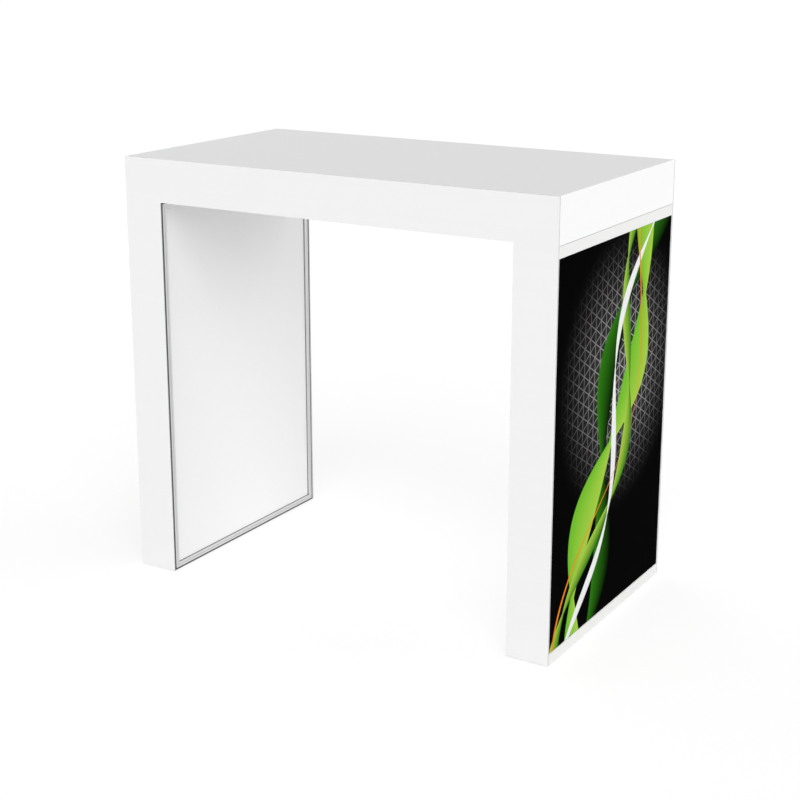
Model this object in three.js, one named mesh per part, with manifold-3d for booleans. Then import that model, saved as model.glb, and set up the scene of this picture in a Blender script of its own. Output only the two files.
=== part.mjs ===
// Exhibition counter: a portal of two fabric-faced legs and a beam with a flush top.
// Millimetres, +Z up. +X runs along the counter and -Y faces the visitor.
// The origin is on the floor, under the middle of the counter.
import * as THREE from "three";
import { mergeVertices } from "three/addons/utils/BufferGeometryUtils.js";
import Module from "manifold-3d";

const wasm = await Module();
wasm.setup();

// Overall size
const WIDTH = 1100;
const DEPTH = 595;
const HEIGHT = 1000;
const LEG_THICKNESS = 100;
const BEAM_HEIGHT = 100;
const FLOOR_GAP = 2; // the legs end this far above the floor

// Clearances
const FIT = 0.25; // left between parts that are pushed together
const OVERRUN = 5; // how far a cutter runs past the face that it opens
const MERGE_DISTANCE = 0.001; // vertices closer than this are one

// Cladding: composite sheet on the sides, laminated board on top
const SHEET = 3;
const TOP_BOARD = 18;
const END_SEAM = 1; // shadow line between a leg and the end panel over it

// Aluminium extrusion of the leg frames
const WALL = 2.5;
const POST_RIM = 1.5; // rim of a post, beside the graphic
const RAIL_RIM = 25; // rim of a rail, above or below the graphic
const GROOVE_WIDTH = 3.5;
const GROOVE_DEPTH = 15;
const GRAPHIC_RECESS = 1.5; // the fabric's seat is this far under the rims
const POST_SEAT = 35;
const RAIL_SEAT = 15;
const CROSS_BAR = 30;
const CROSS_BAR_WALL = 2;

// Corner brackets of the leg frames
const BRACKET_ARM = 45;
const BRACKET_THICKNESS = 4;
const BRACKET_WIDTH = 40;
const BRACKET_HOLE_RADIUS = 3.25;

// Printed stretch fabric and the silicone edging sewn round it
const FABRIC = 1;

// Inner face of a leg: white panel in a silver frame with a dark gasket round it
const GASKET_WIDTH = 4;
const GASKET_RECESS = 0.5;
const STRIP_FACE = 12;
const STRIP_LIP = 4;
const STRIP_HEEL = 4;
const STRIP_LINE_WIDTH = 1; // fine line along the middle of a strip
const STRIP_LINE_DEPTH = 0.6;
const PANEL = 3;

// Levelling feet
const FOOT_CHANNEL = 6; // depth of the channel that hides the glide pads
const FOOT_WEB = 3; // web that the studs are screwed through
const FOOT_INSET = 55; // from the outside of the frame to a stud
const PAD_RADIUS = 18;
const PAD_CHAMFER = 1.5;
const PAD_SOCKET = 4;
const STUD_RADIUS = 4;
const STUD_REACH = 24; // above the web, fully screwed in

// Beam
const BEAM_RAIL_WIDTH = 30;
const LEDGE = 10; // ledge of a rail that carries the soffit
const LEDGE_THICKNESS = 2;
const CROSS_MEMBER_WIDTH = 60;
const CROSS_MEMBER_WALL = 3;
const CROSS_MEMBER_FLANGE = 12;

// Bolts between the beam and the legs
const BOLT_RADIUS = 4;
const BOLT_LENGTH = 25;
const BOLT_SPACING = 300;
const BOLT_HEAD_HEIGHT = 5.5;
const BOLT_HEAD_RADIUS = 7.5; // across corners

// Sides of the round pieces
const ROUND_SIDES = 16;
const PAD_SIDES = 32;
const HEX_SIDES = 6;

// Finishes
const WHITE_SHEET = { color: 0xf2f2f2, roughness: 0.4, metalness: 0 };
const WHITE_BOARD = { color: 0xf0f0f0, roughness: 0.45, metalness: 0 };
const WHITE_PANEL = { color: 0xf4f4f4, roughness: 0.6, metalness: 0 };
const WHITE_COAT = { color: 0xeeeeee, roughness: 0.4, metalness: 0.1 };
const SILVER = { color: 0xc8c8c8, roughness: 0.35, metalness: 0.9 };
const STEEL = { color: 0xb4b6b8, roughness: 0.4, metalness: 1 };
const PRINT = { color: 0x0a0a0a, roughness: 0.85, metalness: 0 };
const SILICONE = { color: 0xdddddd, roughness: 0.6, metalness: 0 };
const DARK_RUBBER = { color: 0x505050, roughness: 0.7, metalness: 0 };
const BLACK_NYLON = { color: 0x202020, roughness: 0.5, metalness: 0 };

// Places worked out from the sizes above
const halfLeg = LEG_THICKNESS / 2;
const legMiddle = WIDTH / 2 - halfLeg;
const beamBottom = HEIGHT - BEAM_HEIGHT;
const topBoardBottom = HEIGHT - TOP_BOARD;
const frameHalfDepth = DEPTH / 2 - SHEET - FIT;
const frameDepth = [-frameHalfDepth, frameHalfDepth];
const frameHeight = [FLOOR_GAP, beamBottom - FIT];
const endPanelInside = WIDTH / 2 - SHEET;
const postFace = POST_RIM + GROOVE_WIDTH + POST_SEAT;
const railFace = RAIL_RIM + GROOVE_WIDTH + RAIL_SEAT;
const grooveFloor = halfLeg - GROOVE_DEPTH;
const seatPlane = halfLeg - GRAPHIC_RECESS;
const liningDepth = STRIP_LIP + PANEL + 2 * FIT;
const frameInside = -halfLeg + liningDepth + FIT;
const postInside = frameHalfDepth - postFace;
const webTop = FLOOR_GAP + FOOT_CHANNEL + FOOT_WEB;
const beamRailInside = frameHalfDepth - BEAM_RAIL_WIDTH;
const footPlaces = [-1, 1].map((side) => side * (frameHalfDepth - FOOT_INSET));
const boltPlaces = [-1, 1].map((side) => (side * BOLT_SPACING) / 2);

// Spans, as [low, high]

function shrink([low, high], by) {
  return [low + by, high - by];
}

function grow([low, high], by) {
  return [low - by, high + by];
}

function about(centre, size) {
  return [centre - size / 2, centre + size / 2];
}

// The span between two distances from an edge, towards +1 or -1.
function inFrom(edge, towards, near, far) {
  const ends = [edge + towards * near, edge + towards * far];
  return ends.sort((a, b) => a - b);
}

// Solids

function box([x0, x1], [y0, y1], [z0, z1]) {
  const geometry = new THREE.BoxGeometry(x1 - x0, y1 - y0, z1 - z0);
  return geometry.translate((x0 + x1) / 2, (y0 + y1) / 2, (z0 + z1) / 2);
}

function extrude(outline, [low, high]) {
  const shape = new THREE.Shape(outline.map(([a, b]) => new THREE.Vector2(a, b)));
  const settings = { depth: high - low, bevelEnabled: false };
  return new THREE.ExtrudeGeometry(shape, settings).translate(0, 0, low);
}

const X = new THREE.Vector3(1, 0, 0);
const Y = new THREE.Vector3(0, 1, 0);
const Z = new THREE.Vector3(0, 0, 1);

// An outline drawn in y and z, run along x.
function alongX(outline, span) {
  const turn = new THREE.Matrix4().makeBasis(Y, Z, X);
  return extrude(outline, span).applyMatrix4(turn);
}

// An outline drawn in x and z, run along y.
function alongY(outline, [low, high]) {
  const turn = new THREE.Matrix4().makeBasis(X, Z, Y.clone().negate());
  return extrude(outline, [-high, -low]).applyMatrix4(turn);
}

function uprightCylinder(radius, sides, x, y, [z0, z1]) {
  const cylinder = new THREE.CylinderGeometry(radius, radius, z1 - z0, sides);
  return cylinder.rotateX(Math.PI / 2).translate(x, y, (z0 + z1) / 2);
}

function levelCylinder(radius, sides, x, z, [y0, y1]) {
  const cylinder = new THREE.CylinderGeometry(radius, radius, y1 - y0, sides);
  return cylinder.translate(x, (y0 + y1) / 2, z);
}

// Cuts and joins

function solidOf(geometry) {
  const plain = geometry.clone();
  plain.deleteAttribute("normal");
  plain.deleteAttribute("uv");
  const merged = mergeVertices(plain, MERGE_DISTANCE);
  const mesh = new wasm.Mesh({
    numProp: 3,
    vertProperties: merged.attributes.position.array,
    triVerts: new Uint32Array(merged.index.array),
  });
  return new wasm.Manifold(mesh);
}

function geometryOf(solid) {
  const mesh = solid.getMesh();
  const geometry = new THREE.BufferGeometry();
  geometry.setAttribute("position", new THREE.BufferAttribute(mesh.vertProperties, 3));
  geometry.setIndex(new THREE.BufferAttribute(mesh.triVerts, 1));
  return geometry;
}

function cut(body, ...tools) {
  const left = tools.reduce((solid, tool) => solid.subtract(solidOf(tool)), solidOf(body));
  return geometryOf(left);
}

function join(body, other) {
  return geometryOf(solidOf(body).add(solidOf(other)));
}

// A rectangular ring that faces along x.
function ring(xSpan, outerY, outerZ, width) {
  const hole = box(grow(xSpan, OVERRUN), shrink(outerY, width), shrink(outerZ, width));
  return cut(box(xSpan, outerY, outerZ), hole);
}

function piece(name, geometry, finish) {
  const material = new THREE.MeshStandardMaterial({ ...finish, flatShading: true });
  const mesh = new THREE.Mesh(geometry, material);
  mesh.name = name;
  return mesh;
}

// A leg is drawn round its own middle: +x points out of the counter, to the graphic.
// The left leg is the same drawing mirrored.

// The fabric's pocket and the groove for its edging are one cut across all four members.
const graphicDepth = shrink(frameDepth, POST_RIM);
const graphicHeight = shrink(frameHeight, RAIL_RIM);

function graphicPocket() {
  return box([seatPlane, halfLeg + OVERRUN], graphicDepth, graphicHeight);
}

function edgingGroove() {
  return ring([grooveFloor, halfLeg + OVERRUN], graphicDepth, graphicHeight, GROOVE_WIDTH);
}

const mainChamber = [frameInside + WALL, grooveFloor - WALL];
const rimChamber = [grooveFloor, halfLeg - WALL];
const seatChamber = [grooveFloor, seatPlane - WALL];

function post(towards) {
  const edge = -towards * frameHalfDepth;
  const seatStart = POST_RIM + GROOVE_WIDTH;
  const height = shrink(frameHeight, railFace + FIT);
  const through = grow(height, OVERRUN);
  return cut(
    box([frameInside, halfLeg], inFrom(edge, towards, 0, postFace), height),
    box(mainChamber, inFrom(edge, towards, WALL, postFace - WALL), through),
    box(seatChamber, inFrom(edge, towards, seatStart + WALL, postFace - WALL), through),
    graphicPocket(),
    edgingGroove(),
  );
}

function railChambers(edge, towards, start) {
  const seatStart = RAIL_RIM + GROOVE_WIDTH;
  const through = grow(frameDepth, OVERRUN);
  return [
    box(mainChamber, through, inFrom(edge, towards, start, railFace - WALL)),
    box(rimChamber, through, inFrom(edge, towards, start, RAIL_RIM - WALL)),
    box(seatChamber, through, inFrom(edge, towards, seatStart + WALL, railFace - WALL)),
  ];
}

function topRail() {
  const [, top] = frameHeight;
  const body = box([frameInside, halfLeg], frameDepth, inFrom(top, -1, 0, railFace));
  const holes = boltPlaces.map((y) => {
    const span = [top - WALL - OVERRUN, top + OVERRUN];
    return uprightCylinder(BOLT_RADIUS + FIT, ROUND_SIDES, 0, y, span);
  });
  return cut(body, ...railChambers(top, -1, WALL), graphicPocket(), edgingGroove(), ...holes);
}

// The bottom rail has a channel in its underside for the glide pads.
function bottomRail() {
  const [bottom] = frameHeight;
  const body = box([frameInside, halfLeg], frameDepth, inFrom(bottom, 1, 0, railFace));
  const channel = box(
    shrink([frameInside, halfLeg], WALL),
    grow(frameDepth, OVERRUN),
    [bottom - OVERRUN, bottom + FOOT_CHANNEL],
  );
  const chambers = railChambers(bottom, 1, FOOT_CHANNEL + FOOT_WEB);
  const holes = footPlaces.map((y) => {
    const span = [bottom, webTop + OVERRUN];
    return uprightCylinder(STUD_RADIUS + FIT, ROUND_SIDES, 0, y, span);
  });
  return cut(body, channel, ...chambers, graphicPocket(), edgingGroove(), ...holes);
}

function cornerBracket(towardsY, towardsZ) {
  const y = -towardsY * postInside;
  const z = towardsZ > 0 ? frameHeight[0] + railFace : frameHeight[1] - railFace;
  const places = [
    [0, 0],
    [BRACKET_ARM, 0],
    [BRACKET_ARM, BRACKET_THICKNESS],
    [BRACKET_THICKNESS, BRACKET_THICKNESS],
    [BRACKET_THICKNESS, BRACKET_ARM],
    [0, BRACKET_ARM],
  ];
  const outline = places.map(([a, b]) => [y + towardsY * (FIT + a), z + towardsZ * (FIT + b)]);
  const body = alongX(outline, about(0, BRACKET_WIDTH));
  const hole = FIT + (BRACKET_ARM + BRACKET_THICKNESS) / 2;
  const through = BRACKET_THICKNESS + FIT + OVERRUN;
  const radius = BRACKET_HOLE_RADIUS;
  return cut(
    body,
    uprightCylinder(radius, ROUND_SIDES, 0, y + towardsY * hole, inFrom(z, towardsZ, 0, through)),
    levelCylinder(radius, ROUND_SIDES, 0, z + towardsZ * hole, inFrom(y, towardsY, 0, through)),
  );
}

function crossBar() {
  const height = about((frameHeight[0] + frameHeight[1]) / 2, CROSS_BAR);
  const width = about(0, CROSS_BAR);
  const length = shrink([-postInside, postInside], FIT);
  const bore = [shrink(width, CROSS_BAR_WALL), grow(length, OVERRUN), shrink(height, CROSS_BAR_WALL)];
  return cut(box(width, length, height), box(...bore));
}

const fabricBack = seatPlane + FIT;

function graphicFabric() {
  const front = fabricBack + FABRIC;
  return box([fabricBack, front], shrink(graphicDepth, FIT), shrink(graphicHeight, FIT));
}

function graphicEdging() {
  const width = GROOVE_WIDTH - 2 * FIT;
  const span = [grooveFloor + FIT, fabricBack - FIT];
  return ring(span, shrink(graphicDepth, FIT), shrink(graphicHeight, FIT), width);
}

function edgeGasket() {
  const span = [-halfLeg + GASKET_RECESS, -halfLeg + liningDepth];
  return ring(span, frameDepth, frameHeight, GASKET_WIDTH);
}

const liningOuterDepth = shrink(frameDepth, GASKET_WIDTH + FIT);
const liningOuterHeight = shrink(frameHeight, GASKET_WIDTH + FIT);

// A strip's outline: how far in from the frame's outside, and how far behind the leg's face.
function stripOutline() {
  const [lineStart, lineEnd] = about(STRIP_FACE / 2, STRIP_LINE_WIDTH);
  return [
    [0, 0],
    [lineStart, 0],
    [lineStart, STRIP_LINE_DEPTH],
    [lineEnd, STRIP_LINE_DEPTH],
    [lineEnd, 0],
    [STRIP_FACE, 0],
    [STRIP_FACE, STRIP_LIP],
    [STRIP_HEEL, STRIP_LIP],
    [STRIP_HEEL, liningDepth],
    [0, liningDepth],
  ];
}

// One side of the mitred frame. The outline is run over a length of 1, and each of its points
// is then placed: the further in it lies, the shorter its line, which cuts the ends at 45 degrees.
function mitredStrip(upright, towards) {
  const acrossSpan = upright ? liningOuterDepth : liningOuterHeight;
  const [low, high] = upright ? liningOuterHeight : liningOuterDepth;
  const edge = towards > 0 ? acrossSpan[0] : acrossSpan[1];
  const direction = upright ? -towards : towards;
  const geometry = extrude(stripOutline(), [0, 1]);
  const points = geometry.attributes.position;
  for (let i = 0; i < points.count; i++) {
    const inwards = points.getX(i);
    const reach = (high - low) / 2 - inwards - FIT;
    const along = (low + high) / 2 + direction * (2 * points.getZ(i) - 1) * reach;
    const across = edge + towards * inwards;
    const x = -halfLeg + points.getY(i);
    points.setXYZ(i, x, upright ? across : along, upright ? along : across);
  }
  return geometry;
}

function innerPanel() {
  const front = -halfLeg + STRIP_LIP + FIT;
  const inset = STRIP_HEEL + FIT;
  return box(
    [front, front + PANEL],
    shrink(liningOuterDepth, inset),
    shrink(liningOuterHeight, inset),
  );
}

const padTop = FLOOR_GAP + FOOT_CHANNEL - FIT;
const socketFloor = padTop - PAD_SOCKET;

function glidePad(y) {
  const profile = [
    [0, 0],
    [PAD_RADIUS - PAD_CHAMFER, 0],
    [PAD_RADIUS, PAD_CHAMFER],
    [PAD_RADIUS, padTop - PAD_CHAMFER],
    [PAD_RADIUS - PAD_CHAMFER, padTop],
    [STUD_RADIUS + FIT, padTop],
    [STUD_RADIUS + FIT, socketFloor],
    [0, socketFloor],
  ];
  const points = profile.map(([radius, height]) => new THREE.Vector2(radius, height));
  const turned = new THREE.LatheGeometry(points, PAD_SIDES).rotateX(Math.PI / 2);
  return turned.translate(0, y, 0);
}

function levellingStud(y) {
  const span = [socketFloor + FIT, webTop + STUD_REACH];
  return uprightCylinder(STUD_RADIUS, ROUND_SIDES, 0, y, span);
}

function beamBolt(y) {
  const headBottom = beamBottom + CROSS_MEMBER_WALL + FIT;
  const headTop = headBottom + BOLT_HEAD_HEIGHT;
  const head = uprightCylinder(BOLT_HEAD_RADIUS, HEX_SIDES, 0, y, [headBottom, headTop]);
  const shankSpan = [headBottom - BOLT_LENGTH, headBottom + BOLT_HEAD_HEIGHT / 2];
  return join(head, uprightCylinder(BOLT_RADIUS, ROUND_SIDES, 0, y, shankSpan));
}

const ENDS = [
  { end: "front", towards: 1, place: 0 },
  { end: "rear", towards: -1, place: 1 },
];
const LEVELS = [
  { level: "bottom", towards: 1 },
  { level: "top", towards: -1 },
];

function leg(side) {
  const group = new THREE.Group();
  const add = (name, geometry, finish) => group.add(piece(`${side}_${name}`, geometry, finish));
  for (const { end, towards, place } of ENDS) {
    add(`${end}_post`, post(towards), WHITE_COAT);
    add(`panel_strip_${end}`, mitredStrip(true, towards), SILVER);
    add(`${end}_foot_stud`, levellingStud(footPlaces[place]), STEEL);
    add(`${end}_glide_pad`, glidePad(footPlaces[place]), BLACK_NYLON);
    add(`${end}_beam_bolt`, beamBolt(boltPlaces[place]), STEEL);
    for (const { level, towards: towardsZ } of LEVELS) {
      add(`${end}_${level}_bracket`, cornerBracket(towards, towardsZ), STEEL);
    }
  }
  for (const { level, towards } of LEVELS) {
    add(`panel_strip_${level}`, mitredStrip(false, towards), SILVER);
  }
  add("top_rail", topRail(), WHITE_COAT);
  add("bottom_rail", bottomRail(), WHITE_COAT);
  add("cross_bar", crossBar(), WHITE_COAT);
  add("graphic_fabric", graphicFabric(), PRINT);
  add("graphic_edging", graphicEdging(), SILICONE);
  add("inner_panel", innerPanel(), WHITE_PANEL);
  add("edge_gasket", edgeGasket(), DARK_RUBBER);
  const outwards = side === "right" ? 1 : -1;
  group.position.x = outwards * legMiddle;
  group.scale.x = outwards;
  return group;
}

// The beam lies on the legs. Its rails carry the soffit on ledges and the top board on their tops.

const beamRailHeight = [beamBottom, topBoardBottom - FIT];
const soffitBottom = beamBottom + LEDGE_THICKNESS + FIT;
const soffitTop = soffitBottom + SHEET;
const endMemberInside = legMiddle - CROSS_MEMBER_WIDTH / 2;

function beamRail(towards) {
  const [bottom, top] = beamRailHeight;
  const outside = -towards * frameHalfDepth;
  const inside = outside + towards * BEAM_RAIL_WIDTH;
  const ledgeEdge = inside + towards * LEDGE;
  const outline = [
    [outside, bottom],
    [ledgeEdge, bottom],
    [ledgeEdge, bottom + LEDGE_THICKNESS],
    [inside, bottom + LEDGE_THICKNESS],
    [inside, top],
    [outside, top],
  ];
  const length = shrink([-endPanelInside, endPanelInside], FIT);
  const chamber = box(
    grow(length, OVERRUN),
    inFrom(outside, towards, WALL, BEAM_RAIL_WIDTH - WALL),
    shrink(beamRailHeight, WALL),
  );
  return cut(alongX(outline, length), chamber);
}

// A lipped channel, open at the top, between the two rails.
function crossMember(x, bottom, halfLength) {
  const [left, right] = about(x, CROSS_MEMBER_WIDTH);
  const top = topBoardBottom - FIT;
  const outline = [
    [left, bottom],
    [right, bottom],
    [right, top],
    [right - CROSS_MEMBER_FLANGE, top],
    [right - CROSS_MEMBER_FLANGE, top - CROSS_MEMBER_WALL],
    [right - CROSS_MEMBER_WALL, top - CROSS_MEMBER_WALL],
    [right - CROSS_MEMBER_WALL, bottom + CROSS_MEMBER_WALL],
    [left + CROSS_MEMBER_WALL, bottom + CROSS_MEMBER_WALL],
    [left + CROSS_MEMBER_WALL, top - CROSS_MEMBER_WALL],
    [left + CROSS_MEMBER_FLANGE, top - CROSS_MEMBER_WALL],
    [left + CROSS_MEMBER_FLANGE, top],
    [left, top],
  ];
  return alongY(outline, [-halfLength, halfLength]);
}

// A cross member over a leg fits between the ledges and takes the leg's bolts.
function endCrossMember(outwards) {
  const x = outwards * legMiddle;
  const body = crossMember(x, beamBottom, beamRailInside - LEDGE - FIT);
  const holes = boltPlaces.map((y) => {
    const span = [beamBottom - OVERRUN, beamBottom + CROSS_MEMBER_WALL + OVERRUN];
    return uprightCylinder(BOLT_RADIUS + FIT, ROUND_SIDES, x, y, span);
  });
  return cut(body, ...holes);
}

function endPanel(outwards) {
  const outside = (outwards * WIDTH) / 2;
  const height = [frameHeight[1] + END_SEAM, HEIGHT];
  return box(inFrom(outside, -outwards, 0, SHEET), frameDepth, height);
}

function topBoard() {
  return box(
    shrink([-endPanelInside, endPanelInside], FIT),
    frameDepth,
    [topBoardBottom, HEIGHT],
  );
}

function soffit() {
  return box(
    shrink([-endMemberInside, endMemberInside], FIT),
    shrink([-beamRailInside, beamRailInside], FIT),
    [soffitBottom, soffitTop],
  );
}

function beam() {
  const group = new THREE.Group();
  for (const { end, towards } of ENDS) {
    group.add(piece(`beam_${end}_rail`, beamRail(towards), WHITE_COAT));
  }
  for (const [side, outwards] of [["left", -1], ["right", 1]]) {
    group.add(piece(`${side}_cross_member`, endCrossMember(outwards), STEEL));
    group.add(piece(`${side}_end_panel`, endPanel(outwards), WHITE_SHEET));
  }
  const middle = crossMember(0, soffitTop + FIT, beamRailInside - FIT);
  group.add(piece("middle_cross_member", middle, STEEL));
  group.add(piece("countertop", topBoard(), WHITE_BOARD));
  group.add(piece("soffit_panel", soffit(), WHITE_SHEET));
  return group;
}

// The front and rear cladding: one U-shaped sheet each, over both legs and the beam.
function fascia(towards) {
  const outside = WIDTH / 2;
  const inside = outside - LEG_THICKNESS;
  const outline = [
    [-outside, FLOOR_GAP],
    [-inside, FLOOR_GAP],
    [-inside, beamBottom],
    [inside, beamBottom],
    [inside, FLOOR_GAP],
    [outside, FLOOR_GAP],
    [outside, HEIGHT],
    [-outside, HEIGHT],
  ];
  return alongY(outline, inFrom((-towards * DEPTH) / 2, towards, 0, SHEET));
}

const counter = new THREE.Group();
counter.add(leg("left"));
counter.add(leg("right"));
counter.add(beam());
for (const { end, towards } of ENDS) {
  counter.add(piece(`${end}_fascia`, fascia(towards), WHITE_SHEET));
}

export default counter;
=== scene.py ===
import math

import bmesh
import bpy
from mathutils import Matrix, Vector


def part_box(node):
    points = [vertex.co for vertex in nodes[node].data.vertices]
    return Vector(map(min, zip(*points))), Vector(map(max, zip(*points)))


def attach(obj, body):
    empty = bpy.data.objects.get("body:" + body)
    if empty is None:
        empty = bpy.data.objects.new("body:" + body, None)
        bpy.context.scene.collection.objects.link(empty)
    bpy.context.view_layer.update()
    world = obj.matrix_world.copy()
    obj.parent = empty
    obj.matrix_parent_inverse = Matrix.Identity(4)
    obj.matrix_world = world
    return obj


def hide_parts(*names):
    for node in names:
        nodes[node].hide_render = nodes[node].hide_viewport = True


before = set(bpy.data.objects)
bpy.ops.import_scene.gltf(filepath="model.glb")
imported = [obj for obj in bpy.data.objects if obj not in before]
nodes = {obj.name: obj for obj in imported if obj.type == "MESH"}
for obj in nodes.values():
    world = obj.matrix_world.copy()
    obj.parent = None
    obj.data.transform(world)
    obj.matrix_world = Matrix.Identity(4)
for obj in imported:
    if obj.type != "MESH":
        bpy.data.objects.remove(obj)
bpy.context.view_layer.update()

# Leg frames
# Each leg is a rectangle of extruded aluminium, sawn square, with a bar across its middle.
# The lengths are powder-coated white after pressing, so the edges are soft and the skin has a
# fine orange peel.

MM = 0.001
SIDES = ("left", "right")
ENDS = ("front", "rear")
EXTRUSION_EDGE = 0.35 * MM
WELD_DISTANCE = 0.001 * MM
FLAT_ANGLE = math.radians(30)  # faces that meet at less than this are one surface
EDGE_STEPS = 3

COAT_WHITE = "#EBEBEA"
COAT_SHADE = "#E5E5E4"
COAT_ROUGHNESS = (0.38, 0.47)
COAT_PEEL = 3 * MM  # real peel is 1 to 2 mm across, drawn coarser so that it shows
COAT_PEEL_HEIGHT = 0.02 * MM
COAT_CLOUD = 180 * MM


def linear(colour):
    """An sRGB hex colour as linear red, green, blue and alpha."""
    shares = [int(colour[i : i + 2], 16) / 255 for i in (1, 3, 5)]
    return (*[s / 12.92 if s <= 0.04045 else ((s + 0.055) / 1.055) ** 2.4 for s in shares], 1)


def new_finish(name, colour, **plain):
    """A material, with a shader of this colour and these plain values. Gives its tree and shader."""
    made = bpy.data.materials.new(name)
    made.use_nodes = True
    shader = made.node_tree.nodes["Principled BSDF"]
    shader.inputs["Base Color"].default_value = linear(colour)
    for socket, value in plain.items():
        shader.inputs[socket.replace("_", " ")].default_value = value
    return made, made.node_tree, shader


def add_node(tree, kind, inputs=None, **settings):
    """A shader node with its settings. An input is a plain value, or the output that feeds it."""
    made = tree.nodes.new("ShaderNode" + kind)
    for name, value in settings.items():
        setattr(made, name, value)
    for socket, value in (inputs or {}).items():
        if isinstance(value, bpy.types.NodeSocket):
            tree.links.new(value, made.inputs[socket])
        else:
            made.inputs[socket].default_value = value
    return made


# Powder-coated aluminium: sprayed polyester powder, baked. An even satin white, never quite flat.
def powder_coated_aluminium():
    made, tree, shader = new_finish("powder_coated_aluminium", COAT_WHITE, IOR=1.5)
    place = add_node(tree, "TexCoord").outputs["Object"]
    cloud = add_node(tree, "TexNoise", {"Vector": place, "Scale": 1 / COAT_CLOUD, "Detail": 3})
    tone = add_node(
        tree,
        "Mix",
        {"Factor": cloud.outputs["Fac"], 6: linear(COAT_WHITE), 7: linear(COAT_SHADE)},
        data_type="RGBA",
    )
    peel = add_node(tree, "TexNoise", {"Vector": place, "Scale": 1 / COAT_PEEL, "Detail": 1})
    smooth, rough = COAT_ROUGHNESS
    sheen = add_node(
        tree, "MapRange", {"Value": peel.outputs["Fac"], "To Min": smooth, "To Max": rough}
    )
    bump = add_node(
        tree, "Bump", {"Height": peel.outputs["Fac"], "Distance": COAT_PEEL_HEIGHT, "Strength": 1}
    )
    tree.links.new(tone.outputs[2], shader.inputs["Base Color"])
    tree.links.new(sheen.outputs[0], shader.inputs["Roughness"])
    tree.links.new(bump.outputs["Normal"], shader.inputs["Normal"])
    return made


def ease_edges(name, radius):
    """Takes the sharpness off a CAD node's edges."""
    piece = nodes[name]
    weld = piece.modifiers.new("weld", "WELD")
    weld.merge_threshold = WELD_DISTANCE
    edge = piece.modifiers.new("edge", "BEVEL")
    edge.width = radius
    edge.segments = EDGE_STEPS
    edge.limit_method = "ANGLE"
    edge.angle_limit = FLAT_ANGLE
    piece.modifiers.new("normals", "WEIGHTED_NORMAL")
    return piece


def paint(piece, *finishes):
    """Gives a piece these finishes in place of any that it has."""
    piece.data.materials.clear()
    for finish in finishes:
        piece.data.materials.append(finish)


coated_aluminium = powder_coated_aluminium()
for side in SIDES:
    for member in ("front_post", "rear_post", "top_rail", "bottom_rail", "cross_bar"):
        paint(ease_edges(f"{side}_{member}", EXTRUSION_EDGE), coated_aluminium)

# Brackets, cross members and bolts
# Steel parts inside the legs and the beam: angle brackets at the corners, lipped channels across
# the beam, and the hexagon bolts that pull it down on the legs.

STEEL_EDGE = 0.4 * MM
BOLT_EDGE = 0.25 * MM
ZINC = "#B7BCC1"
ZINC_ROUGHNESS = (0.28, 0.46)
ZINC_SPANGLE = 5 * MM


# Zinc-plated steel: rolled, pressed and plated bright. Cool grey, with a faint crystal spangle.
def zinc_plated_steel():
    made, tree, shader = new_finish("zinc_plated_steel", ZINC, Metallic=1)
    place = add_node(tree, "TexCoord").outputs["Object"]
    spangle = add_node(tree, "TexVoronoi", {"Vector": place, "Scale": 1 / ZINC_SPANGLE})
    grey = add_node(tree, "RGBToBW", {"Color": spangle.outputs["Color"]})
    smooth, rough = ZINC_ROUGHNESS
    shine = add_node(
        tree, "MapRange", {"Value": grey.outputs["Val"], "To Min": smooth, "To Max": rough}
    )
    tree.links.new(shine.outputs[0], shader.inputs["Roughness"])
    return made


zinc_steel = zinc_plated_steel()
for side in SIDES:
    for end in ENDS:
        for level in ("bottom", "top"):
            paint(ease_edges(f"{side}_{end}_{level}_bracket", STEEL_EDGE), zinc_steel)
        paint(ease_edges(f"{side}_{end}_beam_bolt", BOLT_EDGE), zinc_steel)
for member in ("left", "middle", "right"):
    paint(ease_edges(f"{member}_cross_member", STEEL_EDGE), zinc_steel)

# Levelling feet
# A zinc-plated stud with a rolled thread is screwed through the web of the bottom rail. It turns
# in the socket of a moulded nylon pad, which is what the counter stands on.

THREAD_PITCH = 1.25 * MM
THREAD_DEPTH = 0.6 * MM
THREAD_STEPS = 8  # rings for each turn
THREAD_END = 1 * MM  # chamfer at both ends of the stud
STUD_SIDES = 24
PAD_EDGE = 1.5 * MM
PAD_EASE = PAD_EDGE / 3  # how far the middle of a rounded edge stands back from its two faces
PAD_RING_DEPTH = 0.6 * MM
PAD_RING = (7 * MM, 13 * MM)  # inner and outer radius of the hollow moulded into the sole
PAD_COLLAR = 7 * MM  # outer radius of the collar round the socket
PAD_STEP = 2 * MM  # height of the collar
PAD_SIDES = 48
PAD_CLEARANCE = 0.25 * MM  # between the stud and the socket that it turns in
NYLON = "#1D1D1D"
NYLON_GRAIN = 0.8 * MM
NYLON_GRAIN_HEIGHT = 0.03 * MM


# Moulded nylon: spark-eroded mould, so a dull black with a fine even grain.
def moulded_nylon():
    made, tree, shader = new_finish("moulded_nylon", NYLON, Roughness=0.5, IOR=1.53)
    place = add_node(tree, "TexCoord").outputs["Object"]
    grain = add_node(tree, "TexNoise", {"Vector": place, "Scale": 1 / NYLON_GRAIN, "Detail": 2})
    bump = add_node(
        tree,
        "Bump",
        {"Height": grain.outputs["Fac"], "Distance": NYLON_GRAIN_HEIGHT, "Strength": 1},
    )
    tree.links.new(bump.outputs["Normal"], shader.inputs["Normal"])
    return made


def new_piece(name, bm, *finishes):
    """An object made from a finished mesh, smooth over its small angles and crisp at its edges."""
    bmesh.ops.recalc_face_normals(bm, faces=bm.faces)
    mesh = bpy.data.meshes.new(name)
    bm.to_mesh(mesh)
    bm.free()
    mesh.shade_smooth()
    mesh.set_sharp_from_angle(angle=FLAT_ANGLE)
    piece = bpy.data.objects.new(name, mesh)
    bpy.context.scene.collection.objects.link(piece)
    for finish in finishes:
        mesh.materials.append(finish)
    return piece


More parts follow.
